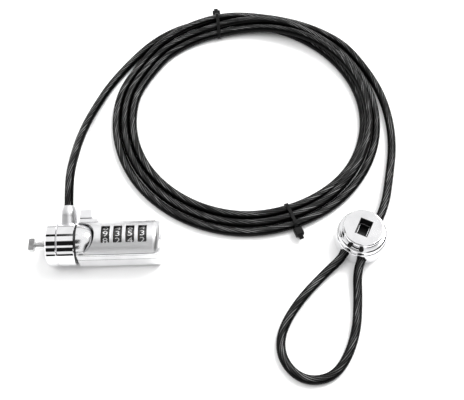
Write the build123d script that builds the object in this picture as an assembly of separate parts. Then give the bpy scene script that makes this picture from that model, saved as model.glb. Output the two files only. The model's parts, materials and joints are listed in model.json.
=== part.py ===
"""Laptop cable lock: four-dial lock head on a swivel ring, steel cable in a coil, slide-on loop puck."""

from build123d import *
import math
import os

os.makedirs("parts", exist_ok=True)

# ---------------------------------------------------------------- driving dimensions, mm
LOCK_LENGTH = 64.4          # T-bar tip to the far end of the body
RING_R = 10.5               # outer radius of both rings; the axis lies this high above the table
KNOB_REACH = 16.3           # from the lock axis to the knob's outer end
NOSE_X = (9.8, 15.2)        # nose ring, measured from the T-bar's tip
SWIVEL_X = (15.3, 23.4)     # swivel ring
WASHER_X = (23.5, 24.3)     # spacer washer behind the swivel ring
BODY_X = (24.4, LOCK_LENGTH)
BODY_HALF_WIDTH = 8.9
BODY_CORNER_R = 4.6         # rounding along the two bottom edges
BODY_END_R = 2.0            # rounding of the two upright edges at the far end
WALL = 1.1
END_WALL = 1.6
FRONT_WALL = 1.0
COVER_THICKNESS = 1.0
COVER_EDGE_Z = 5.55         # the cover's long edges, above the lock axis
COVER_END_RIM = 0.4         # the body reaches this far past the cover's end
COVER_END_R = 3.2           # rounding over the cover's far end
BEZEL_R = 8.7               # half-round bezel at the front of the cover
BEZEL_OFFSET_Y = -0.6
DIAL_R = 5.5
DIAL_WIDTH = 3.8
DIAL_Z = 4.6                # dial axis above the lock axis
DIAL_PITCH = 5.88
FIRST_DIAL_X = 38.45
DIAL_COUNT = 4
DIGITS = 10
WINDOW_LENGTH = 4.2         # along the lock axis
WINDOW_WIDTH = 9.0          # across the top
GUIDE_REACH = 11.3          # from the lock axis to the knob guide's outer face
KNOB_TRAVEL = 3.0
T_BAR_TURN = 90.0           # degrees over the full knob travel
CABLE_R = 2.2
COIL_CENTRE = (77.3, 77.3)
COIL_R = (60.5, 75.5)
COIL_Z = (1.05, 9.65)
TIE_ANGLES = (102.5, -73.0)  # degrees round the coil's centre
PUCK_CENTRE = (130.9, -1.0)
PUCK_R = 12.4
PUCK_HEIGHT = 9.5
CAP_R = 10.2
CAP_HEIGHT = 6.6
BORE_TURN = 27.0            # the puck's bores, degrees from -Y towards -X
BORE_OFFSET = 4.6
BORE_Z = 4.8
FIT = 0.05                  # radial clearance of a running fit
GAP = 0.3                   # free gap between bodies that only pass each other

AXIS_Y = -(KNOB_REACH - RING_R) / 2
HEAD = Pos(-LOCK_LENGTH / 2, AXIS_Y, RING_R)
SHAFT_R = 3.0
CORE_R = 6.5
CORE_BORE_R = 4.0
DRUM_X = (26.0, 32.4)
DRUM_R = 4.0
PIN_R = 0.8
PIN_X = 28.0
ROD_R = 1.4
SLIDER_END_X = 31.4
ROD_NECK_Z = 5.3            # the rod's thin end, held in the slider block
SCREW_XS = (37.4, 56.6)
SLEEVE_R = 3.5
SLEEVE_LENGTH = 4.8
DIAL_XS = [FIRST_DIAL_X + DIAL_PITCH * i for i in range(DIAL_COUNT)]
FERRULE_R = 4.05
FERRULE_REACH = 18.9        # from the lock axis to the ferrule's tip
CRIMP_FACE = 12.4           # from the lock axis to the cable's end face
SWIVEL_MID_X = sum(SWIVEL_X) / 2
FERRULE_TILT = 22.0         # degrees up from level, turned about the lock axis
NECK_R = 2.6                # widest part of the T-bar's neck


# ---------------------------------------------------------------- helpers
def rod(x0, x1, radius, y=0.0, z=0.0):
    """A cylinder along X, in the lock head's own coordinates."""
    bar = Cylinder(radius, x1 - x0, align=(Align.CENTER, Align.CENTER, Align.MIN))
    return Pos(x0, y, z) * Rot(0, 90, 0) * bar


def tube(x0, x1, outer, inner, y=0.0, z=0.0):
    return rod(x0, x1, outer, y, z) - rod(x0 - 1, x1 + 1, inner, y, z)


def block(x0, x1, y0, y1, z0, z1):
    size = Box(x1 - x0, y1 - y0, z1 - z0, align=(Align.MIN, Align.MIN, Align.MIN))
    return Pos(x0, y0, z0) * size


def along_y(y0, y1, radius, x=0.0, z=0.0):
    bar = Cylinder(radius, y1 - y0, align=(Align.CENTER, Align.CENTER, Align.MIN))
    return Pos(x, y0, z) * Rot(-90, 0, 0) * bar


def save(shape, name):
    export_step(shape, f"parts/{name}.step")


def save_head(shape, name):
    save(HEAD * shape, name)


def section_prism(x0, x1, half_width, bottom, corner_r, arc_r):
    """The body's cross-section: round top, upright sides, rounded bottom edges."""
    shoulder = math.sqrt(arc_r**2 - half_width**2)
    walls = Pos(0, 0, (shoulder + bottom) / 2) * Box(x1 - x0, 2 * half_width, shoulder - bottom)
    low = walls.edges().filter_by(Axis.X).group_by(Axis.Z)[0]
    walls = fillet(low, corner_r)
    top = rod(x0, x1, arc_r) & block(x0, x1, -half_width, half_width, shoulder - 1, arc_r + 1)
    return Pos((x0 + x1) / 2, 0, 0) * walls + top


# ---------------------------------------------------------------- lock head, fixed pieces
def bezel_prism(margin, z0, z1):
    column = Cylinder(BEZEL_R + margin, z1 - z0, align=(Align.CENTER, Align.CENTER, Align.MIN))
    return Pos(BODY_X[0], BEZEL_OFFSET_Y, z0) * column


def window(x):
    half_x = WINDOW_LENGTH / 2
    half_y = WINDOW_WIDTH / 2
    cut = block(x - half_x, x + half_x, -half_y, half_y, COVER_EDGE_Z, RING_R + 1)
    return fillet(cut.edges().filter_by(Axis.Z), 0.5)


def cover_form(shrink):
    """The body's round top with its far end rounded over, taken in by the same amount all round."""
    form = rod(BODY_X[0] - 1, BODY_X[1] - COVER_END_RIM - shrink, RING_R - shrink)
    end = form.edges().filter_by(GeomType.CIRCLE).sort_by(Axis.X)[-1]
    return fillet(end, COVER_END_R - shrink)


def make_top_cover():
    cover_end = BODY_X[1] - COVER_END_RIM
    cover = cover_form(0) - cover_form(COVER_THICKNESS)
    cover &= block(BODY_X[0], cover_end, -RING_R, RING_R, COVER_EDGE_Z + FIT, RING_R + 1)
    cover -= bezel_prism(0.05, 0, RING_R + 2)
    cover -= rod(cover_end - 3, cover_end + 1, 1.8 + FIT, z=DIAL_Z)
    for x in DIAL_XS:
        cover -= window(x)
    return max(cover.solids(), key=lambda solid: solid.volume)


def make_body_shell():
    x0, x1 = BODY_X
    shell = section_prism(x0, x1, BODY_HALF_WIDTH, -RING_R, BODY_CORNER_R, RING_R)
    front_wall = rod(x0 - 1, x0 + FRONT_WALL + 1, RING_R - COVER_THICKNESS - 0.02)
    shell -= block(x0 - 1, x1 + 1, -RING_R, RING_R, COVER_EDGE_Z, RING_R + 1) - front_wall
    shell = fillet(shell.edges().filter_by(Axis.Z).group_by(Axis.X)[-1], BODY_END_R)
    cavity = section_prism(
        x0 + FRONT_WALL, x1 - END_WALL, BODY_HALF_WIDTH - WALL, -RING_R + WALL, BODY_CORNER_R - WALL,
        RING_R - COVER_THICKNESS,
    )
    cavity += block(x0 + FRONT_WALL, x1 - END_WALL, -BODY_HALF_WIDTH + WALL, BODY_HALF_WIDTH - WALL, 0, RING_R)
    shell -= cavity
    shell -= rod(x0 - 1, x0 + FRONT_WALL + 1, CORE_R)
    for z in (4.1, 0.0):
        groove = block(x0 - 1, x1 + 1, -BODY_HALF_WIDTH - 1, -BODY_HALF_WIDTH + 0.2, z - 0.15, z + 0.15)
        shell -= groove
        shell -= mirror(groove, Plane.XZ)
    slot_x0 = PIN_X - 1.6
    slot_x1 = PIN_X + 1.6 + KNOB_TRAVEL
    shell -= block(slot_x0, slot_x1, BODY_HALF_WIDTH - WALL - 1, BODY_HALF_WIDTH + 1, 1.3, 4.3)
    shell -= rod(x1 - END_WALL - 1, x1 + 1, 1.8 + FIT, z=DIAL_Z)
    for x in SCREW_XS:
        shell -= Pos(x, 0, -RING_R - 1) * Cylinder(1.1, 4, align=(Align.CENTER, Align.CENTER, Align.MIN))
        shell -= Pos(x, 0, -RING_R) * Cone(2.1, 1.1, 0.9, align=(Align.CENTER, Align.CENTER, Align.MIN))
    return max(shell.solids(), key=lambda solid: solid.volume)


def make_front_bezel():
    x0 = BODY_X[0]
    shell = tube(x0, x0 + BEZEL_R, RING_R, RING_R - COVER_THICKNESS)
    shell &= block(x0, x0 + BEZEL_R, -RING_R, RING_R, COVER_EDGE_Z + FIT, RING_R + 1)
    bezel = shell & bezel_prism(-0.05, 0, RING_R + 2)
    return max(bezel.solids(), key=lambda solid: solid.volume)


def make_nose_ring():
    ring = rod(NOSE_X[0], NOSE_X[1], RING_R)
    ring = chamfer(ring.edges().filter_by(GeomType.CIRCLE), 0.5)
    ring -= rod(NOSE_X[0] + 1.4, NOSE_X[1] + 1, CORE_R)
    return ring - rod(NOSE_X[0] - 1, NOSE_X[1], NECK_R + GAP)


def make_bushing(x0, x1):
    return tube(x0, x1, CORE_BORE_R, SHAFT_R + FIT)


def make_dial_frame():
    """Tray with five upright dividers that the dials stand between."""
    floor_z = -3.4
    x0 = DIAL_XS[0] - DIAL_PITCH / 2 - 0.4
    x1 = DIAL_XS[-1] + DIAL_PITCH / 2 + 0.4
    half_width = BODY_HALF_WIDTH - WALL - 0.1
    frame = block(x0, x1, -half_width, half_width, floor_z - 0.8, floor_z)
    for i in range(DIAL_COUNT + 1):
        x = DIAL_XS[0] + DIAL_PITCH * (i - 0.5)
        plate = block(x - 0.4, x + 0.4, -half_width, half_width, floor_z, RING_R)
        plate &= rod(x - 1, x + 1, RING_R - COVER_THICKNESS - 0.1)
        hole = ROD_R + FIT if i in (0, DIAL_COUNT) else 2.8
        plate -= block(x - 1, x + 1, -6.6, -4.8, floor_z, floor_z + 0.5)
        frame += plate - rod(x - 1, x + 1, hole, z=DIAL_Z)
    for x in SCREW_XS:
        frame += Pos(x, 0, -RING_R + WALL) * Cylinder(
            1.7, RING_R - WALL + floor_z, align=(Align.CENTER, Align.CENTER, Align.MIN)
        )
        frame -= Pos(x, 0, -RING_R) * Cylinder(0.8, 6, align=(Align.CENTER, Align.CENTER, Align.MIN))
    return frame


def make_detent_spring():
    """Leaf comb with one finger bearing up under each dial."""
    strip = block(DIAL_XS[0] - 2, DIAL_XS[-1] + 2, -6.4, -5.0, -3.38, -3.08)
    for x in DIAL_XS:
        finger = block(x - 0.9, x + 0.9, -5.0, 0.8, -3.38, -3.08)
        ridge = Pos(x, 0, -1.8) * Rot(0, 90, 0) * Cylinder(0.6, 1.8)
        post = block(x - 0.9, x + 0.9, -0.4, 0.4, -3.2, -1.8)
        strip += finger + ridge + post
    return strip


def make_floor_screws():
    screws = []
    for x in SCREW_XS:
        head = Pos(x, 0, -RING_R + 0.05) * Cone(2.0, 1.0, 0.85, align=(Align.CENTER, Align.CENTER, Align.MIN))
        shank = Pos(x, 0, -RING_R + 0.3) * Cylinder(0.78, 5.2, align=(Align.CENTER, Align.CENTER, Align.MIN))
        slot = Pos(x, 0, -RING_R) * Box(0.5, 3.2, 0.7)
        screws.append(head + shank - slot)
    return Compound(children=[HEAD * screw for screw in screws])


def make_knob_guide():
    """Raised chrome pad on the rear wall, slotted for the knob's stem, slanted at one end."""
    y0 = BODY_HALF_WIDTH + 0.02
    y1 = GUIDE_REACH
    z0, z1 = -2.0, 5.0
    outline = Polyline((24.5, y0), (34.2, y0), (33.3, y1), (24.8, y1), (24.5, y0))
    pad = Pos(0, 0, z0) * extrude(make_face(outline), z1 - z0)
    return pad - block(PIN_X - 1.6, PIN_X + 1.6 + KNOB_TRAVEL, y0 - 1, y1 + 1, 1.3, 4.3)


# ---------------------------------------------------------------- T-bar
def make_t_bar():
    neck = Pos(2.0, 0, 0) * Rot(0, 90, 0) * Cone(
        1.25, NECK_R, NOSE_X[0] - 2.0, align=(Align.CENTER, Align.CENTER, Align.MIN)
    )
    bar = neck + rod(NOSE_X[0], NOSE_X[0] + 2, NECK_R)
    head = block(0, 2.8, -3.1, 3.1, -1.3, 1.3)
    head = fillet(head.edges().filter_by(Axis.Z), 0.6)
    bar += head
    bar += rod(NOSE_X[0] + 1.7, DRUM_X[0], SHAFT_R)
    return bar + rod(DRUM_X[0], DRUM_X[1] + 0.6, 2.0)


def make_cam_drum():
    """Drum with a helical track: the knob's pin, sliding along it, turns the drum a quarter turn."""
    drum = tube(DRUM_X[0], DRUM_X[1], DRUM_R, 2.0)
    steps = 12
    for i in range(steps + 1):
        share = i / steps
        pin = Pos(PIN_X + KNOB_TRAVEL * share, 0, 2.3) * Cylinder(
            PIN_R + 0.15, 4, align=(Align.CENTER, Align.CENTER, Align.MIN)
        )
        drum -= Rot(-T_BAR_TURN * share, 0, 0) * pin
    return drum


# ---------------------------------------------------------------- knob slide
def make_slider_block():
    x0 = PIN_X - 1.4
    x1 = PIN_X + 1.4
    bridge = block(x0, SLIDER_END_X, -1.6, 4.6, DRUM_R + GAP, 7.0)
    leg = block(x0, x1, 4.5, 6.4, 1.5, 5.2)
    stem = block(x0, x1, 6.4, GUIDE_REACH + 1.3, 1.5, 4.1)
    slider = bridge + leg + stem
    slider -= rod(SLIDER_END_X - 2.4, SLIDER_END_X + 1, 0.7, z=ROD_NECK_Z)
    return slider - Pos(PIN_X, 0, 4) * Cylinder(PIN_R, 4)


def make_cam_pin():
    return Pos(PIN_X, 0, 2.5) * Cylinder(PIN_R - 0.01, 3.4, align=(Align.CENTER, Align.CENTER, Align.MIN))


def make_knob():
    z0, z1 = -0.6, 5.4
    y0 = GUIDE_REACH + 0.25
    y1 = KNOB_REACH
    outline = Polyline((24.7, y0), (30.7, y0), (30.3, y1), (24.9, y1), (24.7, y0))
    body = Pos(0, 0, z0) * extrude(make_face(outline), z1 - z0)
    body = fillet(body.edges().group_by(Axis.Y)[-1], 0.5)
    return body - block(PIN_X - 1.42, PIN_X + 1.42, y0 - 1, GUIDE_REACH + 1.32, 1.48, 4.12)


def make_locking_rod():
    rod_x0 = 33.0
    shape = rod(rod_x0, 59.5, ROD_R, z=DIAL_Z)
    shape += rod(SLIDER_END_X - 2.3, rod_x0 + 1, 0.68, z=ROD_NECK_Z)
    for x in DIAL_XS:
        shape += block(x - 1.6, x - 0.8, -0.7, 0.7, DIAL_Z - 2.6, DIAL_Z)
    return shape


def make_reset_screw():
    x1 = BODY_X[1]
    screw = rod(x1 - END_WALL - 0.8, x1 - 0.1, 1.8, z=DIAL_Z)
    screw += rod(x1 - END_WALL - 0.8, x1 - END_WALL - GAP, 2.6, z=DIAL_Z)
    slot = Pos(x1 - 0.1, 0, DIAL_Z) * Box(1.0, 3.0, 0.5)
    screw -= slot
    return screw - rod(x1 - END_WALL - 1, x1 - END_WALL, ROD_R + GAP, z=DIAL_Z)


# ---------------------------------------------------------------- dials
def make_dial(x):
    dial = rod(x - DIAL_WIDTH / 2, x + DIAL_WIDTH / 2, DIAL_R, z=DIAL_Z)
    dial = chamfer(dial.edges().filter_by(GeomType.CIRCLE), 0.25)
    dial -= rod(x - DIAL_WIDTH, x + DIAL_WIDTH, SLEEVE_R + 0.02, z=DIAL_Z)
    for i in range(DIGITS):
        angle = math.radians(360 * (i + 0.5) / DIGITS)
        y = DIAL_R * math.sin(angle)
        z = DIAL_Z + DIAL_R * math.cos(angle)
        dial -= rod(x - DIAL_WIDTH, x + DIAL_WIDTH, 0.3, y, z)
    return dial


def make_sleeve(x):
    x0 = x - SLEEVE_LENGTH / 2
    x1 = x + SLEEVE_LENGTH / 2
    sleeve = tube(x0, x1, SLEEVE_R, ROD_R + FIT, z=DIAL_Z)
    sleeve -= rod(x0 + 0.5, x - 0.4, 2.9, z=DIAL_Z)
    sleeve -= rod(x + 1.0, x1 - 0.1, 2.9, z=DIAL_Z)
    return sleeve - block(x0 - 1, x1 + 1, -0.9, 0.9, DIAL_Z - 2.85, DIAL_Z)


# ---------------------------------------------------------------- swivel ring and ferrule
def make_swivel_ring():
    ring = rod(SWIVEL_X[0], SWIVEL_X[1], RING_R)
    ring = chamfer(ring.edges().filter_by(GeomType.CIRCLE), 0.25)
    ring -= rod(SWIVEL_X[0] - 1, SWIVEL_X[1] + 1, CORE_R + FIT)
    return ring - along_y(CORE_R, RING_R + 1, 3.3, x=SWIVEL_MID_X)


def make_ferrule():
    """Domed sleeve pressed into the swivel ring; the cable passes out of its tip."""
    base_y = 8.6
    outline = Polyline((0, 7.2), (3.29, 7.2), (3.29, base_y), (FERRULE_R, base_y), (FERRULE_R, 13.4))
    dome = ThreePointArc((FERRULE_R, 13.4), (3.78, 16.6), (2.6, FERRULE_REACH))
    close = Polyline((2.6, FERRULE_REACH), (0, FERRULE_REACH), (0, 7.2))
    shape = revolve(make_face(outline + dome + close), Axis.Y)
    shape = Pos(SWIVEL_MID_X, 0, 0) * shape
    shape -= rod(SWIVEL_X[0] - 2, SWIVEL_X[1] + 2, RING_R) - along_y(6, RING_R + 1, 3.29, x=SWIVEL_MID_X)
    shape -= along_y(7, CRIMP_FACE, 2.65, x=SWIVEL_MID_X)
    return shape - along_y(CRIMP_FACE - 1, FERRULE_REACH + 1, CABLE_R + FIT, x=SWIVEL_MID_X)


def make_cable_stop():
    return along_y(7.4, CRIMP_FACE, 2.6, x=SWIVEL_MID_X)


# ---------------------------------------------------------------- puck
def bore_direction():
    turn = math.radians(BORE_TURN)
    return Vector(-math.sin(turn), -math.cos(turn), 0)


def bore_point(side, distance):
    """A point on a puck bore's axis; side +1 is the through bore, -1 the blind one."""
    way = bore_direction()
    across = Vector(-way.Y, way.X, 0) * (BORE_OFFSET * side)
    return Vector(PUCK_CENTRE[0], PUCK_CENTRE[1], BORE_Z) + across + way * distance


def bore_cylinder(side, start, end, radius):
    way = bore_direction()
    plane = Plane(origin=bore_point(side, start), z_dir=way)
    return plane * Cylinder(radius, end - start, align=(Align.CENTER, Align.CENTER, Align.MIN))


def puck_disc(radius, z0, z1):
    disc = Cylinder(radius, z1 - z0, align=(Align.CENTER, Align.CENTER, Align.MIN))
    return Pos(PUCK_CENTRE[0], PUCK_CENTRE[1], z0) * disc


def puck_box(width, length, z0, z1):
    """A rectangle across the puck's centre, its long side along the bores."""
    box = Box(width, length, z1 - z0, align=(Align.CENTER, Align.CENTER, Align.MIN))
    return Pos(PUCK_CENTRE[0], PUCK_CENTRE[1], z0) * Rot(0, 0, -BORE_TURN) * box


SOCKET_FLOOR = PUCK_HEIGHT - 0.8
CAP_TOP = PUCK_HEIGHT + CAP_HEIGHT
PUCK_SCREW_REACH = 9.2      # from the puck's centre, in line with the bores
PUCK_SCREW_R = 0.9


def puck_screw_column(end, radius, z0, z1):
    spot = Vector(PUCK_CENTRE[0], PUCK_CENTRE[1], z0) + bore_direction() * (PUCK_SCREW_REACH * end)
    return Pos(*spot) * Cylinder(radius, z1 - z0, align=(Align.CENTER, Align.CENTER, Align.MIN))


def make_puck_screws():
    screws = []
    for end in (1, -1):
        head = puck_screw_column(end, 1.6, 0.3, 1.4)
        shank = puck_screw_column(end, PUCK_SCREW_R, 1.0, 12.5)
        hexagon = puck_screw_column(end, 0.7, 0, 1.0)
        screws.append(head + shank - hexagon)
    return Compound(children=screws)


def make_puck_base():
    base = puck_disc(PUCK_R, 0, PUCK_HEIGHT)
    base = fillet(base.edges().filter_by(GeomType.CIRCLE), 0.8)
    base -= bore_cylinder(1, -PUCK_R - 2, PUCK_R + 2, CABLE_R + 0.12)
    base -= bore_cylinder(-1, 2.0, PUCK_R + 2, CABLE_R + 0.12)
    base -= bore_cylinder(-1, -6.0, 2.0, 3.0)
    for end in (1, -1):
        base -= puck_screw_column(end, 1.65, -1, 1.45)
        base -= puck_screw_column(end, PUCK_SCREW_R + 0.05, -1, PUCK_HEIGHT + 1)
    return base - puck_box(8.2, 10.6, SOCKET_FLOOR - 0.6, PUCK_HEIGHT + 1)


def make_puck_cap():
    cap = puck_disc(CAP_R, PUCK_HEIGHT + 0.02, CAP_TOP)
    cap = fillet(cap.edges().group_by(Axis.Z)[-1], 0.9)
    shoulder = puck_disc(PUCK_R - 0.4, PUCK_HEIGHT + 0.02, PUCK_HEIGHT + 3.0)
    cap += fillet(shoulder.edges().group_by(Axis.Z)[-1], 1.5)
    for end in (1, -1):
        cap -= puck_screw_column(end, PUCK_SCREW_R + 0.02, PUCK_HEIGHT - 1, 12.6)
    cap -= puck_box(8.2, 10.6, PUCK_HEIGHT - 1, CAP_TOP - 0.6)
    return cap - puck_box(6.4, 9.2, PUCK_HEIGHT, CAP_TOP + 1)


def make_puck_socket():
    """Black insert under the cap's window, with a stepped rectangular recess."""
    insert = puck_box(8.1, 10.5, SOCKET_FLOOR - 0.55, CAP_TOP - 0.62)
    insert -= puck_box(6.0, 8.6, SOCKET_FLOOR + 3.6, CAP_TOP)
    return insert - puck_box(4.6, 7.0, SOCKET_FLOOR + 0.6, CAP_TOP)


def make_loop_crimp():
    return bore_cylinder(-1, -5.5, 1.95, 2.95) - bore_cylinder(-1, 0.0, 3.0, CABLE_R + 0.02)


# ---------------------------------------------------------------- cable
LEAD_POINTS = [
    (-12.85, 8.6, 15.15), (-12.85, 20.0, 19.75), (-12.9, 32.0, 20.8), (-12.3, 46.0, 16.4), (-11.4, 60.0, 11.0),
    (-9.0, 74.0, 6.3), (-5.2, 87.0, 3.0), (0.7, 100.8, 2.2), (11.0, 117.5, 2.2),
    (23.3, 133.0, 2.2), (36.5, 142.4, 2.2), (50.0, 146.2, 2.2),
]
TAIL_POINTS = [
    (142.8, 110.4, 2.2), (151.6, 92.6, 2.2), (155.7, 73.0, 2.2), (154.8, 54.0, 2.2),
    (150.6, 36.0, 2.2), (145.9, 18.3, 4.8), (127.05, -18.7, 4.8), (126.2, -34.0, 2.2),
    (123.6, -49.5, 2.2), (116.9, -63.8, 2.2), (109.3, -70.7, 2.2), (99.0, -71.7, 2.2),
    (90.2, -66.6, 2.2), (86.0, -57.2, 2.2), (88.1, -47.2, 2.2), (97.6, -33.0, 2.2),
    (109.3, -21.2, 2.2), (119.3, -13.6, 4.8), (125.9, -0.65, 4.8),
]


def corner_radii(points):
    radii = []
    for before, corner, after in zip(points, points[1:], points[2:]):
        run_in = Vector(*corner) - Vector(*before)
        run_out = Vector(*after) - Vector(*corner)
        half_turn = math.radians(run_in.get_angle(run_out)) / 2
        radii.append(0.45 * min(run_in.length, run_out.length) / math.tan(half_turn))
    return radii


def make_cable(name, points):
    radii = corner_radii(points)
    path = FilletPolyline(*points, radius=radii)
    start = Plane(origin=path @ 0, z_dir=path % 0)
    cable = sweep(start * Circle(CABLE_R), path=path)
    expected = math.pi * CABLE_R**2 * path.length
    print(name, "length", round(path.length, 1), "radii", [round(r, 1) for r in radii])
    print(name, "volume", round(cable.volume, 1), "section times length", round(expected, 1))
    return cable


def make_coil():
    """Outer shape of the tied bundle of turns."""
    inner, outer = COIL_R
    height = COIL_Z[1] - COIL_Z[0]
    ring = Cylinder(outer, height) - Cylinder(inner, height + 1)
    ring = fillet(ring.edges().filter_by(GeomType.CIRCLE), 2.0)
    return Pos(COIL_CENTRE[0], COIL_CENTRE[1], sum(COIL_Z) / 2) * ring


def make_tie(angle):
    """Nylon tie round the bundle: strap, square head on the outside and a short tail."""
    clear = 0.05
    strap = 0.95
    x0 = COIL_R[0] - clear
    x1 = COIL_R[1] + clear
    z0 = COIL_Z[0] - clear
    z1 = COIL_Z[1] + clear
    loop = block(x0 - strap, x1 + strap, -1.2, 1.2, z0 - strap, z1 + strap)
    loop = fillet(loop.edges().filter_by(Axis.Y), 2.6)
    hollow = block(x0, x1, -2, 2, z0, z1)
    loop -= fillet(hollow.edges().filter_by(Axis.Y), 1.9)
    head = block(x1 + strap - 0.2, x1 + strap + 4.2, -1.9, 1.9, 3.6, 6.8)
    tail = block(x1 + strap + 4.0, x1 + strap + 6.0, -1.2, 1.2, 4.7, 5.6)
    tie = loop + head + tail
    return Pos(COIL_CENTRE[0], COIL_CENTRE[1], 0) * Rot(0, 0, angle) * tie


# ---------------------------------------------------------------- writing the parts
def write_head():
    save_head(make_body_shell(), "body_shell")
    save_head(make_top_cover(), "top_cover")
    save_head(make_front_bezel(), "front_bezel")
    save_head(make_nose_ring(), "nose_ring")
    save_head(tube(NOSE_X[0] + 1.4, BODY_X[0] + FRONT_WALL, CORE_R, CORE_BORE_R), "core_tube")
    save_head(make_bushing(NOSE_X[0] + 1.9, NOSE_X[0] + 5.4), "front_bushing")
    save_head(make_bushing(21.4, BODY_X[0] + FRONT_WALL), "rear_bushing")
    save_head(tube(WASHER_X[0], WASHER_X[1], 9.3, CORE_R + FIT), "spacer_washer")
    save_head(make_dial_frame(), "dial_frame")
    save_head(make_detent_spring(), "dial_detent_spring")
    save(make_floor_screws(), "floor_screws")
    save_head(make_knob_guide(), "knob_guide")
    save_head(make_reset_screw(), "reset_screw")


def write_moving():
    save_head(make_t_bar(), "t_bar")
    save_head(make_cam_drum(), "cam_drum")
    save_head(make_slider_block(), "slider_block")
    save_head(make_cam_pin(), "cam_pin")
    save_head(make_knob(), "knob")
    save_head(make_locking_rod(), "locking_rod")
    for i, x in enumerate(DIAL_XS, start=1):
        save_head(make_dial(x), f"dial_{i}")
        save_head(make_sleeve(x), f"clutch_sleeve_{i}")


def write_cable_side():
    tilt = Rot(FERRULE_TILT, 0, 0)
    save_head(tilt * make_swivel_ring(), "swivel_ring")
    save_head(tilt * make_ferrule(), "cable_ferrule")
    save_head(tilt * make_cable_stop(), "cable_stop")
    save(make_puck_base(), "puck_base")
    save(make_puck_cap(), "puck_cap")
    save(make_puck_socket(), "puck_socket")
    save(make_puck_screws(), "puck_screws")
    save(make_loop_crimp(), "loop_crimp")
    save(make_cable("lead", LEAD_POINTS), "cable_lead")
    save(make_cable("tail", TAIL_POINTS), "cable_tail_loop")
    save(make_coil(), "cable_coil")
    for i, angle in enumerate(TIE_ANGLES, start=1):
        save(make_tie(angle), f"cable_tie_{i}")


write_head()
write_moving()
write_cable_side()
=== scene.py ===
"""Looks for the laptop cable lock: a coil of twisted steel cable, chrome, satin and nylon."""

import json
import math

import bmesh
import bpy
from mathutils import Matrix, Vector
from mathutils.geometry import convex_hull_2d


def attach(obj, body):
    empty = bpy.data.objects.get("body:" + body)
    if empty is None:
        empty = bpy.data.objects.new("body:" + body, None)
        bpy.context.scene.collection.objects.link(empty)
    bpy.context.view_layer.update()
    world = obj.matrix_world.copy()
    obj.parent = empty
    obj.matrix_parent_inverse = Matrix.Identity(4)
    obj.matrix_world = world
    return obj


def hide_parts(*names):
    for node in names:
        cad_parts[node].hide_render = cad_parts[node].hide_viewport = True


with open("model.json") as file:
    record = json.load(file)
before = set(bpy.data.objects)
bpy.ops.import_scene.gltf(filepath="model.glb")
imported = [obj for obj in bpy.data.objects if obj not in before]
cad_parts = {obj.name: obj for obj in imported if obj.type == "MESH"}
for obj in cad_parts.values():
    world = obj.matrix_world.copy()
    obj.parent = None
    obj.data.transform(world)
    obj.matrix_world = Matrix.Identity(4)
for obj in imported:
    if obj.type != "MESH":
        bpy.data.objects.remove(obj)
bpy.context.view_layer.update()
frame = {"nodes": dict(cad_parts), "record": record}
NODES = frame["nodes"]
SCENE = bpy.context.scene
MM = 0.001

# ------------------------------------------------------------------ places: millimetres, degrees
COIL_CENTRE = (77.3, 77.3)
COIL_REACH = (50.0, 80.0)   # every turn of the coil lies between these radii
PUCK_CENTRE = (130.9, -1.0)
PUCK_YAW = -27              # how far the puck's recess is turned
AXIS_Y = -2.9               # the lock head's long axis
AXIS_Z = 10.5
HEAD_X = -32.2              # the T-bar's tip
DIAL_Z = AXIS_Z + 4.6
DIAL_R = 5.5
DIAL_XS = [HEAD_X + 38.45 + 5.88 * i for i in range(4)]
CABLE_D = 4.4
CABLE_R = CABLE_D / 2
TIE_ANGLES = (102.5, -72.6)
TIE_YAWS = (-8.0, 1.5)      # each tie's lean from straight across the turns
TIE_LIFT = 1.0              # how far the turns rise over the second tie's strap
TIE_LIFT_SPREAD = 11        # the angle over which they do


def mm(*point):
    return Vector(point) * MM


# ------------------------------------------------------------------ camera
CAMERA_PLACE = (61.4, -171.9, 342.3)
CAMERA_TARGET = (67.6, 25.6, 0)
CAMERA_LENS = 59.0
CAMERA_SENSOR = 36.0


def make_camera():
    data = bpy.data.cameras.new("camera")
    camera = bpy.data.objects.new("camera", data)
    SCENE.collection.objects.link(camera)
    camera.location = mm(*CAMERA_PLACE)
    target = mm(*CAMERA_TARGET)
    camera.rotation_euler = (target - camera.location).to_track_quat("-Z", "Y").to_euler()
    data.sensor_width = CAMERA_SENSOR
    data.lens = CAMERA_LENS
    data.clip_start = 0.01
    SCENE.camera = camera


make_camera()

# ------------------------------------------------------------------ the cable's route
# From the ferrule up, over, down to the table and round to the first crossing.
LEAD_POINTS = [
    (-12.85, 8.6, 15.15), (-12.85, 20.0, 19.75), (-12.9, 32.0, 20.8), (-12.3, 46.0, 16.4),
    (-11.4, 60.0, 11.0), (-9.0, 74.0, 6.3), (-5.2, 87.0, 3.0), (0.9, 100.6, 2.2),
    (11.8, 116.8, 2.2), (24.4, 131.6, 2.2), (37.4, 140.8, 2.2), (50.4, 144.9, 2.9),
]
# From the last crossing through the puck, round the loop and back into the puck.
TAIL_POINTS = [
    (145.2, 111.8, 2.2), (152.8, 93.0, 2.2), (155.7, 73.0, 2.2), (154.8, 54.0, 2.2),
    (150.6, 36.0, 2.2), (145.9, 18.3, 4.8), (138.4, 3.6, 4.8), (131.6, -9.8, 4.8),
    (127.05, -18.7, 4.8), (126.2, -34.0, 2.2), (123.6, -49.5, 2.2), (116.9, -63.8, 2.2),
    (109.3, -70.7, 2.2), (99.0, -71.7, 2.2), (91.2, -66.6, 2.2), (87.2, -57.4, 2.2),
    (88.9, -46.6, 2.2), (97.6, -33.0, 2.2), (110.4, -19.8, 2.3), (119.9, -12.2, 4.6),
    (122.0, -8.3, 4.8), (125.9, -0.65, 4.8),
]
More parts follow.
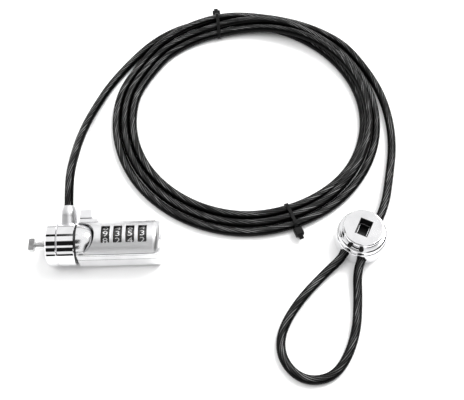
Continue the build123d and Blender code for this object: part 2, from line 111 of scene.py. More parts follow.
# Where the turns cross over each other: (angle, radius, height) for each pass.
CROSSINGS = [
    [(106, 70.2, 3.2), (98, 68.9, 3.1), (88, 67.4, 2.3), (76, 66.3, 2.2), (64, 65.4, 2.2),
     (52, 64.8, 2.2), (40, 64.5, 2.2), (28, 64.3, 2.2), (16, 64.3, 2.2)],
    [(137, 62.6, 2.2), (125, 62.2, 2.2), (113, 61.8, 2.8), (101, 61.3, 3.3), (88, 62.0, 4.2),
     (76, 62.9, 5.6), (64, 63.8, 6.4), (52, 64.9, 6.6), (40, 65.7, 6.5), (28, 66.1, 6.3),
     (16, 66.3, 6.2)],
    [(137, 67.0, 2.5), (125, 66.5, 2.9), (113, 65.3, 4.2), (101, 64.8, 6.4), (88, 66.2, 7.0),
     (76, 67.7, 6.8), (64, 69.2, 5.4), (52, 70.4, 3.4), (40, 71.0, 2.5), (28, 71.1, 2.2),
     (16, 71.1, 2.2)],
    [(137, 71.2, 2.8), (129, 70.5, 4.4), (121, 69.8, 6.2), (112, 69.2, 7.4), (102, 69.4, 7.6),
     (92, 71.0, 5.6), (82, 72.3, 3.2), (72, 73.3, 2.4), (62, 74.3, 2.2), (52, 75.4, 2.2),
     (40, 76.8, 2.2)],
]
# The three turns clear of the crossings: (angle, radius, height), clockwise from the right.
LANES = [
    [(4, 64.3, 2.2), (-30, 63.8, 2.2), (-60, 62.4, 2.2), (-120, 62.1, 2.2), (-160, 62.6, 2.2),
     (-200, 62.7, 2.2)],
    [(4, 66.4, 6.1), (-24, 66.5, 5.9), (-42, 67.0, 4.4), (-62, 66.9, 2.6), (-95, 67.0, 2.2),
     (-140, 67.0, 2.2), (-170, 67.1, 2.2), (-200, 67.1, 2.3)],
    [(4, 71.0, 2.2), (-30, 71.1, 2.2), (-60, 71.6, 2.2), (-95, 72.1, 2.2), (-140, 72.0, 2.2),
     (-172, 71.6, 2.2), (-200, 71.5, 2.2)],
]
LANE_STEP = 12              # degrees between a turn's points
LANE_START = 4
LANE_STEPS = 18
# The spline cuts inside its control points, so they stand this much further out.
CHORD = 1 / math.cos(math.radians(LANE_STEP / 2))


def coil_point(angle, radius, height):
    turn = math.radians(angle)
    reach = radius * CHORD
    x = COIL_CENTRE[0] + reach * math.cos(turn)
    y = COIL_CENTRE[1] + reach * math.sin(turn)
    return x, y, height


def lane_at(keys, angle):
    """Radius and height at that angle, eased between the lane's keys."""
    for (a0, r0, z0), (a1, r1, z1) in zip(keys, keys[1:]):
        if a0 >= angle >= a1:
            share = (a0 - angle) / (a0 - a1)
            ease = share * share * (3 - 2 * share)
            return r0 + (r1 - r0) * ease, z0 + (z1 - z0) * ease
    return keys[-1][1:]


def lane_points(lane):
    """One turn's stretch clear of the crossings, lifted over the second tie's strap."""
    points = []
    for i in range(LANE_STEPS):
        angle = LANE_START - LANE_STEP * i
        radius, height = lane_at(LANES[lane], angle)
        off_tie = abs((angle - TIE_ANGLES[1] + 180) % 360 - 180)
        lift = TIE_LIFT * math.exp(-((off_tie / TIE_LIFT_SPREAD) ** 2))
        points.append(coil_point(angle, radius, height + lift))
    return points


def route_points():
    points = list(LEAD_POINTS)
    for index, crossing in enumerate(CROSSINGS):
        points += [coil_point(*key) for key in crossing]
        if index < len(LANES):
            points += lane_points(index)
    return points + TAIL_POINTS


def take_mesh(curve):
    """The mesh of a curve or a text, which is removed."""
    holder = bpy.data.objects.new(curve.name, curve)
    SCENE.collection.objects.link(holder)
    bpy.context.view_layer.update()
    mesh = bpy.data.meshes.new_from_object(holder)
    bpy.data.objects.remove(holder)
    bpy.data.curves.remove(curve)
    return mesh


def spline_points(points):
    """Points along the smooth route, read from its NURBS spline."""
    curve = bpy.data.curves.new("route", "CURVE")
    curve.dimensions = "3D"
    spline = curve.splines.new("NURBS")
    spline.points.add(len(points) - 1)
    for knot, point in zip(spline.points, points):
        knot.co = (*mm(*point), 1.0)
    spline.order_u = 3
    spline.use_endpoint_u = True
    spline.resolution_u = 12
    mesh = take_mesh(curve)
    line = [vertex.co.copy() for vertex in mesh.vertices]
    bpy.data.meshes.remove(mesh)
    return line


def even_points(line, step):
    """The same line with evenly spaced points."""
    lengths = [0.0]
    for a, b in zip(line, line[1:]):
        lengths.append(lengths[-1] + (b - a).length)
    count = int(lengths[-1] / step)
    out = []
    j = 0
    for i in range(count + 1):
        want = lengths[-1] * i / count
        while j < len(lengths) - 2 and lengths[j + 1] < want:
            j += 1
        span = lengths[j + 1] - lengths[j]
        share = (want - lengths[j]) / span if span > 0 else 0.0
        out.append(line[j].lerp(line[j + 1], share))
    return out


# ------------------------------------------------------------------ the cable's mesh
STRANDS = 14
STRAND_PITCH = 60.0 * MM
STRAND_RIPPLE = 0.01        # half of how far a strand stands out, mm
RING_STEP = 0.8             # from one ring of the mesh to the next, mm
SIDES = 56


def tube_mesh(name, line, radius, ripple):
    """A tube along the line, with one low lobe in its section for each twisted strand."""
    mesh = bpy.data.meshes.new(name)
    verts = []
    along = []
    around = []
    top = []
    up = Vector((0, 0, 1))
    travelled = 0.0
    for i, point in enumerate(line):
        ahead = line[min(i + 1, len(line) - 1)] - line[max(i - 1, 0)]
        tangent = ahead.normalized()
        side = tangent.cross(up).normalized()
        rise = side.cross(tangent).normalized()
        if i:
            travelled += (point - line[i - 1]).length
        for k in range(SIDES):
            turn = 2 * math.pi * k / SIDES
            lobe = math.cos(STRANDS * (turn + 2 * math.pi * travelled / STRAND_PITCH))
            reach = radius - ripple * (1 - lobe)
            verts.append(point + (side * math.cos(turn) + rise * math.sin(turn)) * reach)
            along.append(travelled)
            around.append(turn)
            top.append(math.sin(turn))
    faces = []
    for i in range(len(line) - 1):
        here, there = i * SIDES, (i + 1) * SIDES
        for k in range(SIDES):
            n = (k + 1) % SIDES
            faces.append((here + k, here + n, there + n, there + k))
    last = (len(line) - 1) * SIDES
    faces.append(tuple(range(SIDES - 1, -1, -1)))
    faces.append(tuple(last + k for k in range(SIDES)))
    mesh.from_pydata(verts, [], faces)
    lay = [a + 2 * math.pi * s / STRAND_PITCH for a, s in zip(around, along)]
    tables = {
        "strand": [math.cos(STRANDS * phase) for phase in lay],
        "lay_x": [math.cos(phase) for phase in lay],
        "lay_y": [math.sin(phase) for phase in lay],
        "travel": [s / MM for s in along],
        # How far the surface faces up, which carries the cable's painted top light and side shade.
        "top": top,
    }
    for label, values in tables.items():
        attribute = mesh.attributes.new(label, "FLOAT", "POINT")
        attribute.data.foreach_set("value", values)
    smooth_faces(mesh)
    mesh.update()
    return mesh


# ------------------------------------------------------------------ what the pieces share
def smooth_faces(mesh):
    mesh.polygons.foreach_set("use_smooth", [True] * len(mesh.polygons))


def finished_mesh(form, name):
    """The mesh of a bmesh, which is freed."""
    mesh = bpy.data.meshes.new(name)
    form.to_mesh(mesh)
    form.free()
    return mesh


def add_object(name, mesh, material, body):
    piece = bpy.data.objects.new(name, mesh)
    SCENE.collection.objects.link(piece)
    piece.data.materials.append(material)
    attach(piece, body)
    return piece


def add_box(form, xs, ys, zs, edge):
    """A box with rounded edges, added to a bmesh, in mm."""
    verts = bmesh.ops.create_cube(form, size=1.0)["verts"]
    size = Vector((xs[1] - xs[0], ys[1] - ys[0], zs[1] - zs[0]))
    middle = Vector((sum(xs), sum(ys), sum(zs))) / 2
    for vert in verts:
        vert.co = mm(vert.co.x * size.x, vert.co.y * size.y, vert.co.z * size.z) + middle * MM
    edges = list({e for v in verts for e in v.link_edges})
    bmesh.ops.bevel(form, geom=edges, offset=edge * MM, segments=3, affect="EDGES", profile=0.5)


# ------------------------------------------------------------------ materials
def grey(value):
    return (value, value, value)


def new_material(name):
    material = bpy.data.materials.new(name)
    material.use_nodes = True
    nodes = material.node_tree.nodes
    return material, nodes, material.node_tree.links, nodes["Principled BSDF"]


def math_node(nodes, links, operation, first, second=0.0):
    """A Math node's result; each input is a number or another node's output."""
    node = nodes.new("ShaderNodeMath")
    node.operation = operation
    for socket, value in zip(node.inputs, (first, second)):
        if isinstance(value, (int, float)):
            socket.default_value = value
        else:
            links.new(value, socket)
    return node.outputs["Value"]


def map_range(nodes, links, source, before=(0.0, 1.0), after=(0.0, 1.0), smooth=False):
    """The source, with one range brought to another and nothing past its ends."""
    node = nodes.new("ShaderNodeMapRange")
    if smooth:
        node.interpolation_type = "SMOOTHSTEP"
    names = ("From Min", "From Max", "To Min", "To Max")
    for name, value in zip(names, (*before, *after)):
        node.inputs[name].default_value = value
    links.new(source, node.inputs["Value"])
    return node.outputs["Result"]


def noise(nodes, links, scale, detail=4.0, stretch=None):
    """A noise texture in the object's own coordinates, stretched along an axis if asked."""
    coords = nodes.new("ShaderNodeTexCoord").outputs["Object"]
    texture = nodes.new("ShaderNodeTexNoise")
    texture.inputs["Scale"].default_value = scale
    texture.inputs["Detail"].default_value = detail
    if stretch:
        mapping = nodes.new("ShaderNodeMapping")
        mapping.inputs["Scale"].default_value = stretch
        links.new(coords, mapping.inputs["Vector"])
        coords = mapping.outputs["Vector"]
    links.new(coords, texture.inputs["Vector"])
    return texture.outputs["Fac"]


def ramp(nodes, links, source, stops):
    node = nodes.new("ShaderNodeValToRGB")
    elements = node.color_ramp.elements
    while len(elements) < len(stops):
        elements.new(0.5)
    for element, (place, colour) in zip(elements, stops):
        element.position = place
        element.color = (*colour, 1.0)
    links.new(source, node.inputs["Fac"])
    return node.outputs["Color"]


def bump(nodes, links, shader, source, strength, distance):
    node = nodes.new("ShaderNodeBump")
    node.inputs["Strength"].default_value = strength
    node.inputs["Distance"].default_value = distance
    links.new(source, node.inputs["Height"])
    links.new(node.outputs["Normal"], shader.inputs["Normal"])


def metal(name, dark, light, rough, grain=None, bump_mm=0.0, scale=260.0):
    """Bare or plated metal, mottled in colour and roughness, with a grain if asked."""
    material, nodes, links, shader = new_material(name)
    shader.inputs["Metallic"].default_value = 1.0
    mottle = noise(nodes, links, scale, stretch=grain)
    colour = ramp(nodes, links, mottle, [(0.3, dark), (0.7, light)])
    links.new(colour, shader.inputs["Base Color"])
    links.new(map_range(nodes, links, mottle, after=rough), shader.inputs["Roughness"])
    if bump_mm:
        bump(nodes, links, shader, mottle, 0.35, bump_mm * MM)
    return material


def plastic(name, dark, light, rough, scale=900.0, bump_mm=0.01, coat=0.0, specular=0.5):
    material, nodes, links, shader = new_material(name)
    shader.inputs["Specular IOR Level"].default_value = specular
    grain = noise(nodes, links, scale, 6.0)
    colour = ramp(nodes, links, grain, [(0.3, dark), (0.75, light)])
    links.new(colour, shader.inputs["Base Color"])
    links.new(map_range(nodes, links, grain, after=rough), shader.inputs["Roughness"])
    shader.inputs["Coat Weight"].default_value = coat
    shader.inputs["Coat Roughness"].default_value = 0.08
    bump(nodes, links, shader, grain, 0.4, bump_mm * MM)
    return material


def attribute_output(nodes, name):
    node = nodes.new("ShaderNodeAttribute")
    node.attribute_name = name
    return node.outputs["Fac"]


def signed_attribute(nodes, links, name):
    """A mesh attribute that runs from -1 to 1, brought to 0 to 1."""
    return map_range(nodes, links, attribute_output(nodes, name), before=(-1.0, 1.0))


def strand_noise(nodes, links, across, along):
    """Noise that runs along the strands: fine across them, long along their lay."""
    join = nodes.new("ShaderNodeCombineXYZ")
    scales = (("lay_x", across), ("lay_y", across), ("travel", along))
    for socket, (name, scale) in enumerate(scales):
        value = math_node(nodes, links, "MULTIPLY", attribute_output(nodes, name), scale)
        links.new(value, join.inputs[socket])
    texture = nodes.new("ShaderNodeTexNoise")
    texture.inputs["Scale"].default_value = 1.0
    texture.inputs["Detail"].default_value = 3.0
    links.new(join.outputs["Vector"], texture.inputs["Vector"])
    return texture.outputs["Fac"]


# The cable's ramps, as (place, brightness).
STRAND_STOPS = ((0.25, 0.0), (0.60, 0.55), (0.95, 1.0))     # from between strands to a strand's top
WIRE_STOPS = ((0.40, 0.45), (0.60, 1.0))                    # the fine wires in each strand
PATCH_STOPS = ((0.35, 0.35), (0.62, 1.0))                   # where the steel shows more or less
PAINTED_TOP_LIGHT_STOPS = ((0.85, 0.0), (0.94, 1.0))                      # painted light on the cable's top, fading to painted shade down its sides
JACKET_STOPS = ((0.0, 0.001), (0.16, 0.003), (0.42, 0.028), (1.0, 0.34))
STREAK_FLOOR = 0.16
WIRE_NOISE = (7.0, 0.04)    # how fine across the strands and along them
PATCH_NOISE = (1.1, 0.08)


def cable_material():
    """Twisted steel strands under a glossy smoke-black jacket, with painted light on the cable's
    top and painted shade down its sides.
    """
    material, nodes, links, shader = new_material("cable_jacket")

    def greys(source, stops):
        return ramp(nodes, links, source, [(place, grey(value)) for place, value in stops])

    def times(first, second):
        return math_node(nodes, links, "MULTIPLY", first, second)

    strand = greys(signed_attribute(nodes, links, "strand"), STRAND_STOPS)
    wires = greys(strand_noise(nodes, links, *WIRE_NOISE), WIRE_STOPS)
    patches = greys(strand_noise(nodes, links, *PATCH_NOISE), PATCH_STOPS)
    streaks = times(times(strand, wires), patches)
    # Painted light and shade: the strands show where the cable faces up, and the cable's sides are
    # painted dark.
    painted_top_light = greys(signed_attribute(nodes, links, "top"), PAINTED_TOP_LIGHT_STOPS)
    shown = times(map_range(nodes, links, streaks, after=(STREAK_FLOOR, 1.0)), painted_top_light)
    links.new(greys(shown, JACKET_STOPS), shader.inputs["Base Color"])
    shader.inputs["Roughness"].default_value = 0.30
    shader.inputs["IOR"].default_value = 1.06
    shader.inputs["Coat Weight"].default_value = 0.45
    shader.inputs["Coat Roughness"].default_value = 0.08
    shader.inputs["Coat IOR"].default_value = 1.25
    bump(nodes, links, shader, strand, 0.25, 0.02 * MM)
    return material


CHROME = metal("chrome", (0.80, 0.80, 0.81), (0.90, 0.90, 0.91), (0.03, 0.07), scale=120.0)
SOFT_CHROME = metal("soft_chrome", (0.76, 0.76, 0.77), (0.86, 0.86, 0.87), (0.36, 0.44),
                    scale=160.0, bump_mm=0.004)
DOME_CHROME = metal("dome_chrome", (0.82, 0.82, 0.83), (0.90, 0.90, 0.91), (0.14, 0.18),
                    scale=140.0)
BAR_STEEL = metal("bar_steel", grey(0.66), grey(0.82), (0.16, 0.24), bump_mm=0.01)
SATIN = metal("satin_silver", (0.80, 0.80, 0.81), (0.90, 0.90, 0.91), (0.34, 0.42),
              grain=(0.25, 6.0, 6.0), bump_mm=0.006, scale=900.0)
INNER_STEEL = metal("turned_steel", (0.42, 0.42, 0.43), (0.58, 0.58, 0.59), (0.25, 0.4),
                    bump_mm=0.01)
SCREW_STEEL = metal("screw_steel", (0.50, 0.50, 0.51), (0.66, 0.66, 0.67), (0.2, 0.35),
                    bump_mm=0.01)
BRASS = metal("brass", (0.60, 0.45, 0.20), (0.80, 0.63, 0.32), (0.2, 0.35), bump_mm=0.01)
DIAL_BLACK = plastic("dial_black", grey(0.012), grey(0.03), (0.22, 0.35), coat=0.4)
DIGIT_LIGHT = metal("digit_light", grey(0.78), grey(0.92), (0.3, 0.45), bump_mm=0.005)
FRAME_BLACK = plastic("frame_black", grey(0.02), grey(0.05), (0.5, 0.7))
WASHER_BLACK = plastic("washer_black", grey(0.01), grey(0.025), (0.4, 0.6))
SOCKET_BLACK = plastic("socket_black", grey(0.002), grey(0.006), (0.3, 0.45), specular=0.3)
NYLON = plastic("tie_nylon", grey(0.003), grey(0.012), (0.35, 0.5), bump_mm=0.02, specular=0.1)
JACKET = cable_material()

SLOT_MATERIALS = {
    "shell_chrome": CHROME, "cover_satin": SATIN, "ring_chrome": CHROME,
    "ferrule_chrome": SOFT_CHROME, "knob_chrome": SOFT_CHROME, "t_bar_steel": BAR_STEEL,
    "inner_steel": INNER_STEEL, "bushing_brass": BRASS, "dial_black": DIAL_BLACK,
    "sleeve_brass": BRASS, "frame_plastic": FRAME_BLACK, "washer_plastic": WASHER_BLACK,
    "screw_steel": SCREW_STEEL, "cable_jacket": JACKET, "tie_nylon": NYLON,
    "puck_chrome": CHROME, "socket_black": SOCKET_BLACK,
}


def dress_cad_nodes():
    for part in frame["record"]["subparts"]:
        node = NODES[part["node"]]
        node.data.materials.clear()
        node.data.materials.append(SLOT_MATERIALS[part["material_slot"]])


# ------------------------------------------------------------------ the cable
def make_cable():
    line = even_points(spline_points(route_points()), RING_STEP * MM)
    mesh = tube_mesh("steel_cable", line, CABLE_R * MM, STRAND_RIPPLE * MM)
    cable = add_object("steel_cable", mesh, JACKET, "cable_side")
    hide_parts("cable_lead", "cable_coil", "cable_tail_loop")
    return cable, line


# ------------------------------------------------------------------ the ties
STRAP_SLACK = 0.03          # between the cable and the strap
# The strap's section, from one edge to the other: (out from the cable, across).
STRAP_SECTION = ((0.0, -1.0), (0.75, -0.82), (0.75, 0.82), (0.0, 1.0))
TIE_HEAD_OUT = 0.6          # from the outermost turn to the tie's head
TIE_HEAD_RISE = 0.4
# The head, its lip and the cut tail: (from x, to x, half width, from z, to z, edge).
TIE_HEAD_BOXES = (
    (0.0, 4.3, 2.2, -1.5, 1.5, 0.45),
    (4.2, 4.7, 1.45, -1.05, 1.05, 0.2),
    (4.5, 6.4, 1.15, -0.35, 0.45, 0.15),
)
TEETH = 4                   # on the cut tail
TEETH_X = 4.95
TOOTH_STEP = 0.35
TOOTH_BOX = (0.0, 0.16, 0.8, 0.4, 0.58, 0.03)


def hull_outline(centres, radius, count=48):
    """The tight outline round several circles."""
    dots = []
    for x, z in centres:
        for k in range(count):
            turn = 2 * math.pi * k / count
            dots.append(Vector((x + radius * math.cos(turn), z + radius * math.sin(turn))))
    return [dots[i] for i in convex_hull_2d(dots)]


def section_at(line, angle):
    """Where the cable's centreline crosses the coil at that angle: (radius, height) in mm."""
    turn = math.radians(angle)
    out = Vector((math.cos(turn), math.sin(turn), 0))
    across = Vector((-out.y, out.x, 0))
    centre = mm(*COIL_CENTRE, 0)
    found = []
    for a, b in zip(line, line[1:]):
        crosses = (a - centre).dot(across) * (b - centre).dot(across) <= 0
        reach = (a - centre).dot(out) / MM
        if crosses and COIL_REACH[0] < reach < COIL_REACH[1]:
            found.append((reach, a.z / MM))
    return found


def add_strap(form, inner, centre):
    """A closed band round the outline, with its two outer edges taken off."""
    count = len(inner)
    rings = []
    for offset, y in STRAP_SECTION:
        ring = []
        for i, point in enumerate(inner):
            edge = inner[(i + 1) % count] - inner[i - 1]
            normal = Vector((edge.y, -edge.x)).normalized()
            if normal.dot(point - centre) < 0:
                normal = -normal
            place = point + normal * offset
            ring.append(form.verts.new(mm(place.x, y, place.y)))
        rings.append(ring)
    for one, two in zip(rings, rings[1:] + rings[:1]):
        for i in range(count):
            n = (i + 1) % count
            form.faces.new((one[i], one[n], two[n], two[i]))


def make_tie(index, angle, line):
    """Strap pulled tight round the turns, a locking head on the outside and the cut tail."""
    inner = hull_outline(section_at(line, angle), CABLE_R + STRAP_SLACK)
    centre = sum(inner, Vector((0, 0))) / len(inner)
    form = bmesh.new()
    add_strap(form, inner, centre)
    head_x = max(point.x for point in inner) + TIE_HEAD_OUT
    head_z = centre.y + TIE_HEAD_RISE
    boxes = [(head_x, box) for box in TIE_HEAD_BOXES]
    boxes += [(head_x + TEETH_X + TOOTH_STEP * k, TOOTH_BOX) for k in range(TEETH)]
    for x, (x0, x1, half, z0, z1, edge) in boxes:
        add_box(form, (x + x0, x + x1), (-half, half), (head_z + z0, head_z + z1), edge)
    bmesh.ops.recalc_face_normals(form, faces=form.faces)
    mesh = finished_mesh(form, f"tie_{index}")
    lean = Matrix.Rotation(math.radians(TIE_YAWS[index - 1]), 4, "Z")
    middle = Matrix.Translation(mm(centre.x, 0, 0))
    turn = Matrix.Rotation(math.radians(angle), 4, "Z")
    coil = Matrix.Translation(mm(*COIL_CENTRE, 0))
    mesh.transform(coil @ turn @ middle @ lean @ middle.inverted())
    tie = add_object(f"nylon_tie_{index}", mesh, NYLON, "cable_side")
    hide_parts(f"cable_tie_{index}")
    return tie


# ------------------------------------------------------------------ the dials' digits
FRONT_DIGITS = (9, 3, 5, 3)
DIGIT_HEIGHT = 2.7
DIGIT_STRETCH = 1.4         # how much wider than the font's own shape
DIGIT_PROUD = 0.06          # out of the dial's face
DIGIT_SUNK = 0.15           # and into it
DIGIT_TURN = 36             # from one digit to the next
LONG_EDGE = 0.12            # a longer edge is split, so that it bends round the dial


def digit_mesh(digit):
    text = bpy.data.curves.new("digit", "FONT")
    text.body = str(digit)
    text.size = 1.0
    text.resolution_u = 4
    return take_mesh(text)


def make_dial_digits(index, x_centre):
    """Ten light digits round a dial, wrapped on to its face as thin raised fillings."""
    form = bmesh.new()
    for step in range(10):
        flat = digit_mesh((FRONT_DIGITS[index] + step) % 10)
        xs = [v.co.x for v in flat.vertices]
        ys = [v.co.y for v in flat.vertices]
        scale_y = DIGIT_HEIGHT / (max(ys) - min(ys))
        scale_x = scale_y * DIGIT_STRETCH
        one = bmesh.new()
        one.from_mesh(flat)
        long_edges = [e for e in one.edges if e.calc_length() > LONG_EDGE]
        bmesh.ops.subdivide_edges(one, edges=long_edges, cuts=2)
        extruded = bmesh.ops.extrude_face_region(one, geom=list(one.faces))
        lifted = {v for v in extruded["geom"] if isinstance(v, bmesh.types.BMVert)}
        for vert in one.verts:
            across = (vert.co.x - (max(xs) + min(xs)) / 2) * scale_x
            upward = (vert.co.y - (max(ys) + min(ys)) / 2) * scale_y
            reach = DIAL_R + (DIGIT_PROUD if vert in lifted else -DIGIT_SUNK)
            turn = math.radians(DIGIT_TURN * step) + upward / DIAL_R
            y = AXIS_Y + reach * math.sin(turn)
            z = DIAL_Z + reach * math.cos(turn)
            vert.co = mm(x_centre + across, y, z)
        one.to_mesh(flat)
        one.free()
        form.from_mesh(flat)
        bpy.data.meshes.remove(flat)
    bmesh.ops.recalc_face_normals(form, faces=form.faces)
    name = f"dial_digits_{index + 1}"
    mesh = finished_mesh(form, name)
    add_object(name, mesh, DIGIT_LIGHT, f"dial_part_{index + 1}")


# ------------------------------------------------------------------ the dome
BEZEL_X = HEAD_X + 24.42
BEZEL_R = 8.62
BEZEL_OFFSET_Y = -0.6
BEZEL_HALF_WIDTH = 8.72
BEZEL_LOWEST = 5.65         # over the head's axis
SKIRT_DROP = 0.9            # from the dome's edge into the cover
SKIRT_LOWEST = 5.62
RINGS_OUT = 28
STEPS_ROUND = 56
RING_R = 10.5


def bezel_fall(share, turn):
    """How far the dome rolls down: most at its arc, and more towards the dials."""
    return (1.5 * share**2 + 1.5 * share**6) * (0.45 + 0.55 * math.cos(turn))


def make_bezel():
    """Polished half-round dome that rolls down towards its arc."""
    form = bmesh.new()
    grid = []
    for i in range(RINGS_OUT + 1):
        share = i / RINGS_OUT
        row = []
        for j in range(STEPS_ROUND + 1):
            turn = math.pi * (j / STEPS_ROUND - 0.5)
            x = BEZEL_R * share * math.cos(turn)
            y = BEZEL_OFFSET_Y + BEZEL_R * share * math.sin(turn)
            y = max(-BEZEL_HALF_WIDTH, min(BEZEL_HALF_WIDTH, y))
            z = max(math.sqrt(RING_R**2 - y * y) - bezel_fall(share, turn), BEZEL_LOWEST)
            row.append(form.verts.new(mm(BEZEL_X + x, AXIS_Y + y, AXIS_Z + z)))
        grid.append(row)
    for row, outer in zip(grid, grid[1:]):
        for j in range(STEPS_ROUND):
            form.faces.new([row[j], outer[j], outer[j + 1], row[j + 1]])
    bmesh.ops.remove_doubles(form, verts=form.verts, dist=1e-7)
    edge = [e for e in form.edges if e.is_boundary]
    made = bmesh.ops.extrude_edge_only(form, edges=edge)
    for vert in (v for v in made["geom"] if isinstance(v, bmesh.types.BMVert)):
        vert.co.z = max(vert.co.z - SKIRT_DROP * MM, (AXIS_Z + SKIRT_LOWEST) * MM)
    bmesh.ops.recalc_face_normals(form, faces=form.faces)
    mesh = finished_mesh(form, "front_dome")
    smooth_faces(mesh)
    mesh.set_sharp_from_angle(angle=math.radians(40))
    bezel = add_object("front_dome", mesh, DOME_CHROME, "lock_head")
    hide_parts("front_bezel")


# ------------------------------------------------------------------ small details
BODY_FRONT_X = HEAD_X + 24.4
BODY_END_X = HEAD_X + 64.4
# Strips of painted shadow under the cover's edge and painted shade in two grooves, in the washers'
# black.
GROOVE_SHADE_DEPTH = 0.5
# (from x, to x, middle height over the axis, thickness, how far out from the axis)
GROOVE_SHADE_STRIPS = (
    (BODY_FRONT_X + 1.2, BODY_END_X - 2.6, 5.58, 0.36, 8.93),
    (BODY_FRONT_X + 1.2, BODY_END_X - 2.2, 4.1, 0.26, 8.87),
    (BODY_FRONT_X + 1.2, BODY_END_X - 2.2, 0.0, 0.26, 8.87),
)


def make_trim_lines():
    """Dark strips of painted shadow under the cover's edge and painted shade in the bottoms of two
    grooves, on both sides.
    """
    form = bmesh.new()
    for x0, x1, height, thick, out in GROOVE_SHADE_STRIPS:
        for side in (-1, 1):
            ys = sorted((AXIS_Y + side * out, AXIS_Y + side * (out - GROOVE_SHADE_DEPTH)))
            zs = (AXIS_Z + height - thick / 2, AXIS_Z + height + thick / 2)
            add_box(form, (x0, x1), ys, zs, 0.03)
    mesh = finished_mesh(form, "groove_shade_strips")
    add_object("groove_shade_strips", mesh, WASHER_BLACK, "lock_head")


STUD_PLACES = ((123.6, -8.6), (128.9, -11.2))
STUD_Z = 12.35
STUD_SIZE = (1.25 * MM, 1.25 * MM, 0.45 * MM)


def make_puck_studs():
    """Two small black domed plugs in the puck's shoulder, one over each cable bore."""
    form = bmesh.new()
    for x, y in STUD_PLACES:
        place = Matrix.Translation(mm(x, y, STUD_Z)) @ Matrix.Diagonal((*STUD_SIZE, 1.0))
        bmesh.ops.create_uvsphere(form, u_segments=32, v_segments=16, radius=1.0, matrix=place)
    mesh = finished_mesh(form, "puck_studs")
    smooth_faces(mesh)
    add_object("puck_studs", mesh, SOCKET_BLACK, "cable_side")


SOCKET_STEP = (4.6, 7.0, 12.3)  # across, along and height of the recess's inner step
# The rim is a painted highlight, lighter steel along the step's edge.
RIM_HALF = 0.13                 # half the rim's width
RIM_OUT = 0.12                  # from the step's edge to the rim's middle
RIM_PAST = 0.2                  # each bar's reach past the step's corner
RIM_SINK = 0.1
RIM_RISE = 0.06


def make_socket_edges():
    """Painted highlight: a lighter steel strip round the inner step of the puck's recess, where its
    edge catches the light.
    """
    form = bmesh.new()
    across, along, height = SOCKET_STEP
    xs = (-across / 2 - RIM_PAST, across / 2 + RIM_PAST)
    ys = (-along / 2 - RIM_PAST, along / 2 + RIM_PAST)
    zs = (height - RIM_SINK, height + RIM_RISE)
    for side in (-1, 1):
        x = side * (across / 2 + RIM_OUT)
        y = side * (along / 2 + RIM_OUT)
        add_box(form, (x - RIM_HALF, x + RIM_HALF), ys, zs, 0.04)
        add_box(form, xs, (y - RIM_HALF, y + RIM_HALF), zs, 0.04)
    mesh = finished_mesh(form, "socket_edge_highlight")
    yaw = Matrix.Rotation(math.radians(PUCK_YAW), 4, "Z")
    mesh.transform(Matrix.Translation(mm(*PUCK_CENTRE, 0)) @ yaw)
    add_object("socket_edge_highlight", mesh, INNER_STEEL, "cable_side")


# ------------------------------------------------------------------ stage and light
FLOOR_REACH = 4.0
FLOOR_DROP = 0.0001         # clear of the part's lowest faces


def make_stage():
    mesh = bpy.data.meshes.new("floor")
    signs = ((-1, -1), (1, -1), (1, 1), (-1, 1))
    corners = [(x * FLOOR_REACH, y * FLOOR_REACH, 0) for x, y in signs]
    mesh.from_pydata(corners, [], [(0, 1, 2, 3)])
    floor = bpy.data.objects.new("floor", mesh)
    SCENE.collection.objects.link(floor)
    floor.location.z = -FLOOR_DROP
    material, nodes, links, shader = new_material("floor_white")
    mottle = noise(nodes, links, 3.0)
    colour = ramp(nodes, links, mottle, [(0.0, grey(0.93)), (1.0, grey(0.95))])
    links.new(colour, shader.inputs["Base Color"])
    shader.inputs["Roughness"].default_value = 0.9
    shader.inputs["Specular IOR Level"].default_value = 0.1
    mesh.materials.append(material)


def make_area(name, place, target, size, power):
    """A soft lamp that polished metal doesn't mirror."""
    light = bpy.data.lights.new(name, "AREA")
    light.shape = "RECTANGLE"
    light.size, light.size_y = size
    light.energy = power
    lamp = bpy.data.objects.new(name, light)
    lamp.visible_glossy = False
    SCENE.collection.objects.link(lamp)
    lamp.location = place
    lamp.rotation_euler = (Vector(target) - Vector(place)).to_track_quat("-Z", "Y").to_euler()


# What polished metal mirrors, for each direction (x, y, z).
# Dark strips along X: (middle, half width, the direction's x where it ends on the right), the
# first two in degrees up from the front horizon.
DARK_STRIPS = ((114, 6.5, -0.19), (69.3, 12.0, 0.0), (36, 10.5, 0.0), (4, 7.0, 0.0))
STRIP_EDGE = (0.85, 1.15)   # a strip's soft edge, in half widths
STRIP_END = (-0.01, 0.02)   # its soft end
# A dark card low at the right: the heights where it fades out, and how far right it sets in.
CARD_TOP = (0.62, 0.80)
CARD_START = (0.48, 0.60)
CARD_LEAN = -0.35           # how much y counts as well as x
HORIZON = (0.12, 0.17)      # the studio is darker below
HORIZON_SHADE = 0.5
DARKEST = 0.01
# A bright window high at the back right: its direction, how much brighter than the studio it is,
# and its soft edge, as the cosine of the angle from its middle.
WINDOW_WAY = (0.45, 0.42, 0.79)
WINDOW_GLOW = 14.0
WINDOW_EDGE = (0.974, 0.986)


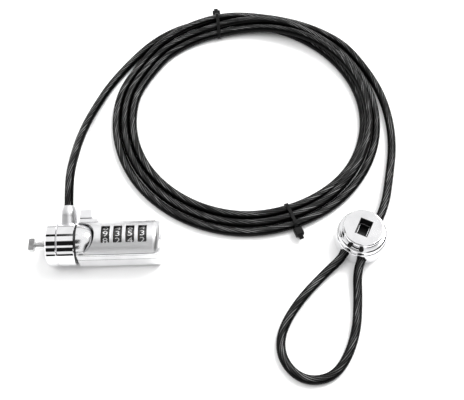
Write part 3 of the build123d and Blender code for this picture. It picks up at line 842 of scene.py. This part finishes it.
def make_world():
    """Even white studio with dark strips in front, a dark card and a bright window."""
    world = bpy.data.worlds.new("studio")
    SCENE.world = world
    world.use_nodes = True
    nodes = world.node_tree.nodes
    links = world.node_tree.links
    background = nodes["Background"]

    def calc(operation, first, second=0.0):
        return math_node(nodes, links, operation, first, second)

    def soft_step(source, edge):
        """0 below the edge's first value, 1 above its second."""
        return map_range(nodes, links, source, before=edge, smooth=True)

    coords = nodes.new("ShaderNodeTexCoord")
    split = nodes.new("ShaderNodeSeparateXYZ")
    links.new(coords.outputs["Generated"], split.inputs["Vector"])
    x, y, z = (split.outputs[name] for name in "XYZ")
    angle = calc("ARCTAN2", z, calc("MULTIPLY", y, -1.0))
    light = 1.0
    for middle, half, reach in DARK_STRIPS:
        away = calc("ABSOLUTE", calc("SUBTRACT", angle, math.radians(middle)))
        beside = soft_step(away, [math.radians(half * share) for share in STRIP_EDGE])
        past = soft_step(x, [reach + end for end in STRIP_END])
        light = calc("MULTIPLY", light, calc("MAXIMUM", beside, past))
    start = soft_step(calc("ADD", x, calc("MULTIPLY", y, CARD_LEAN)), CARD_START)
    card = calc("MAXIMUM", soft_step(z, CARD_TOP), calc("SUBTRACT", 1.0, start))
    horizon = calc("MAXIMUM", soft_step(z, HORIZON), HORIZON_SHADE)
    light = calc("MULTIPLY", calc("MULTIPLY", light, card), horizon)
    colour = ramp(nodes, links, light, [(0.0, grey(DARKEST)), (1.0, grey(1.0))])
    links.new(colour, background.inputs["Color"])
    near = 0.0
    for axis, place in zip((x, y, z), WINDOW_WAY):
        near = calc("ADD", near, calc("MULTIPLY", axis, place))
    glow = calc("MULTIPLY", soft_step(near, WINDOW_EDGE), WINDOW_GLOW)
    links.new(calc("ADD", glow, 1.0), background.inputs["Strength"])


def make_lights():
    make_area("key", (-0.25, -0.15, 0.9), (0.06, 0.04, 0), (0.7, 0.5), 4.0)
    make_area("fill", (0.5, 0.3, 0.8), (0.06, 0.04, 0), (0.7, 0.7), 3.0)


# ------------------------------------------------------------------ build
dress_cad_nodes()
cable, cable_line = make_cable()
ties = [make_tie(i + 1, angle, cable_line) for i, angle in enumerate(TIE_ANGLES)]
for i, x in enumerate(DIAL_XS):
    make_dial_digits(i, x)
make_bezel()
make_trim_lines()
make_puck_studs()
make_socket_edges()
make_stage()
make_world()
make_lights()
SCENE.view_settings.view_transform = "Standard"
